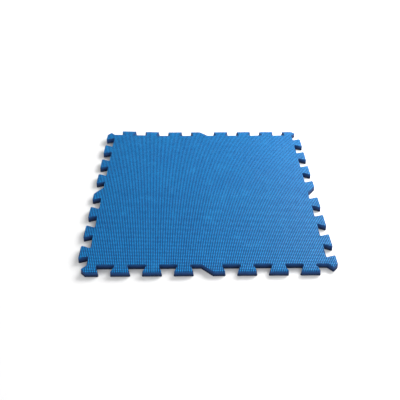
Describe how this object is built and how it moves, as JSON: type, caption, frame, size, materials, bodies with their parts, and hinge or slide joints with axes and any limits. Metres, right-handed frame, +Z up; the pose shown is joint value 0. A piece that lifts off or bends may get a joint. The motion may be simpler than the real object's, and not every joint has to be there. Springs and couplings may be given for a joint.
{
  "type": "interlocking foam mat",
  "caption": "Square closed-cell foam mat with an embossed top and dovetail tabs on every side, for pinning out damp knitting and joining edge to edge.",
  "frame": {"origin": "on the floor, under the middle of the mat", "axes": "+Z up through the sheet; +X and +Y square to the right and back sides"},
  "size_m": [0.624, 0.624, 0.015],
  "materials": {
    "top_skin": "satin, finely embossed in small squarish pads",
    "foam_core": "matte die-cut foam",
    "base_skin": "matte, faintly grained"
  },
  "bodies": {
    "root": {"top_skin": "top_skin", "foam_core": "foam_core", "base_skin": "base_skin"}
  },
  "joints": []
}
